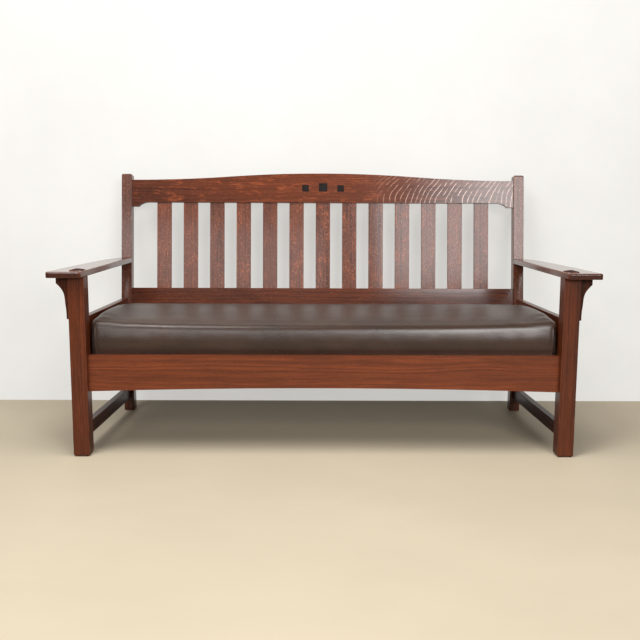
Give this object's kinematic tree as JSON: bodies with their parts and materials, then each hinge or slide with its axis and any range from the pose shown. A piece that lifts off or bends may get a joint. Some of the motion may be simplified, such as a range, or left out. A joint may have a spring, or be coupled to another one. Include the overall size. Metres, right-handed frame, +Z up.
{
  "type": "settle",
  "caption": "Mission style oak settle with a raked slat back, bell-topped crest rail, flat bowed arms on corbels and a loose drop-in leather seat.",
  "frame": {"origin": "on the floor, under the middle of the overall box", "axes": "+Z up, -Y towards the front of the seat, +X to the right as seen from the front"},
  "size_m": [1.696, 0.7264, 0.9058],
  "materials": {
    "oak": "reddish-brown stained quarter-sawn oak, satin",
    "inlay": "ebonised wood, satin",
    "inner_wood": "plain unfinished wood",
    "screw": "plain zinc-grey steel",
    "webbing": "woven jute",
    "leather": "dark brown semi-gloss leather"
  },
  "bodies": {
    "frame": {"front_post_left": "oak", "front_post_right": "oak", "back_post_left": "oak", "back_post_right": "oak", "front_seat_rail": "oak", "back_seat_rail": "oak", "side_seat_rail_left": "oak", "side_seat_rail_right": "oak", "side_stretcher_left": "oak", "side_stretcher_right": "oak", "crest_rail": "oak", "lower_back_rail": "oak", "back_slat_01": "oak", "back_slat_02": "oak", "back_slat_03": "oak", "back_slat_04": "oak", "back_slat_05": "oak", "back_slat_06": "oak", "back_slat_07": "oak", "back_slat_08": "oak", "back_slat_09": "oak", "back_slat_10": "oak", "back_slat_11": "oak", "back_slat_12": "oak", "back_slat_13": "oak", "arm_left": "oak", "arm_right": "oak", "corbel_left": "oak", "corbel_right": "oak", "crest_inlay_left": "inlay", "crest_inlay_center": "inlay", "crest_inlay_right": "inlay", "seat_cleat_front": "inner_wood", "seat_cleat_back": "inner_wood", "seat_bearer": "inner_wood", "cleat_screws": "screw"},
    "seat": {"seat_frame_front": "inner_wood", "seat_frame_back": "inner_wood", "seat_frame_left": "inner_wood", "seat_frame_center": "inner_wood", "seat_frame_right": "inner_wood", "seat_webbing": "webbing", "seat_cushion": "leather"}
  },
  "joints": [
    {"name": "seat_lift", "type": "slide", "parent": "frame", "child": "seat", "axis": [0, 0, 1], "range_m": [0, 0.11]}
  ]
}
